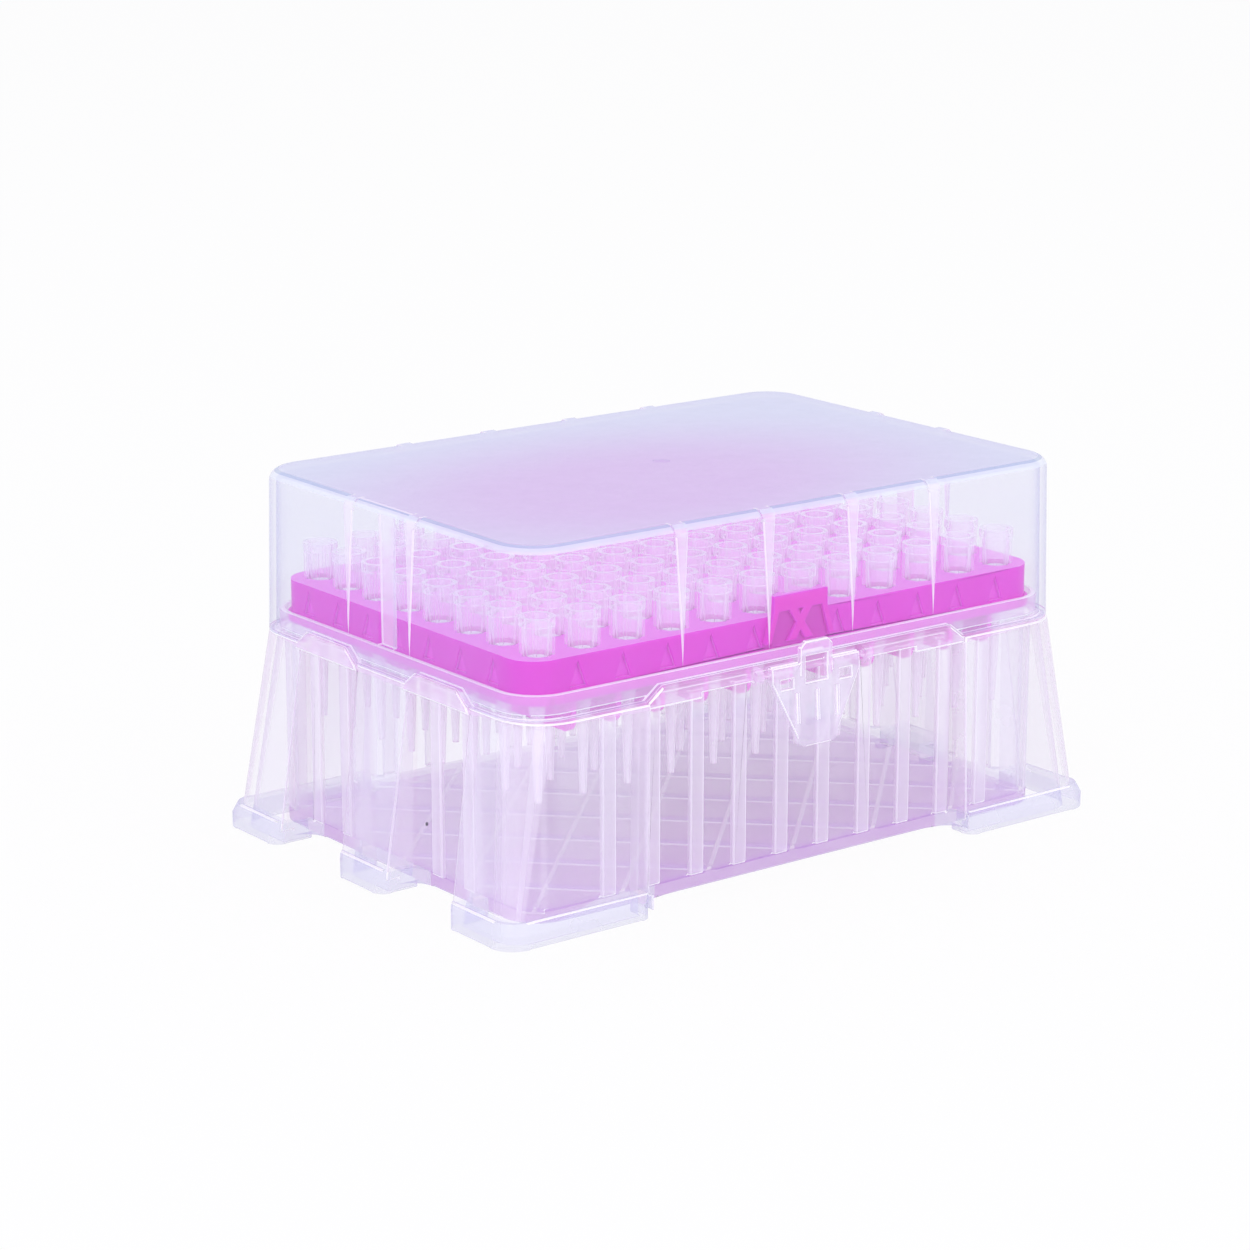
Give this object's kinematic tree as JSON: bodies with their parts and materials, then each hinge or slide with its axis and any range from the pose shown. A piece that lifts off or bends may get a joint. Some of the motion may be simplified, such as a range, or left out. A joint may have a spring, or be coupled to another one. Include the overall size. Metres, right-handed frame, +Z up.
{
  "type": "box of filtered pipette tips",
  "caption": "Clear hinged laboratory box on a standard plate footprint, holding a full grid of filtered pipette tips in a pink rack plate.",
  "frame": {"origin": "centre of the footprint, on the surface that the feet stand on", "axes": "+X along the long side, -Y to the latch, +Y to the hinge, +Z up"},
  "size_m": [0.1278, 0.0854, 0.0636],
  "materials": {
    "clear_polypropylene": "glossy",
    "clear_lid_polypropylene": "glossy",
    "pink_polypropylene": "satin",
    "tip_polypropylene": "glossy",
    "filter_foam": "matte"
  },
  "bodies": {
    "case": {"base": "clear_polypropylene", "tip_plate": "pink_polypropylene", "tips_column_01": "tip_polypropylene", "tips_column_02": "tip_polypropylene", "tips_column_03": "tip_polypropylene", "tips_column_04": "tip_polypropylene", "tips_column_05": "tip_polypropylene", "tips_column_06": "tip_polypropylene", "tips_column_07": "tip_polypropylene", "tips_column_08": "tip_polypropylene", "tips_column_09": "tip_polypropylene", "tips_column_10": "tip_polypropylene", "tips_column_11": "tip_polypropylene", "tips_column_12": "tip_polypropylene", "filters_column_01": "filter_foam", "filters_column_02": "filter_foam", "filters_column_03": "filter_foam", "filters_column_04": "filter_foam", "filters_column_05": "filter_foam", "filters_column_06": "filter_foam", "filters_column_07": "filter_foam", "filters_column_08": "filter_foam", "filters_column_09": "filter_foam", "filters_column_10": "filter_foam", "filters_column_11": "filter_foam", "filters_column_12": "filter_foam"},
    "lid": {"lid": "clear_lid_polypropylene"},
    "latch": {"latch": "clear_polypropylene"}
  },
  "joints": [
    {"name": "lid_hinge", "type": "hinge", "parent": "case", "child": "lid", "pos_m": [0, 0.041, 0.0362], "axis": [-1, 0, 0], "range_deg": [0, 105]},
    {"name": "latch_pivot", "type": "hinge", "parent": "case", "child": "latch", "pos_m": [0, -0.0403, 0.036], "axis": [1, 0, 0], "range_deg": [0, 10], "stiffness_Nm_per_rad": 0.004, "springref_deg": -2.86}
  ]
}
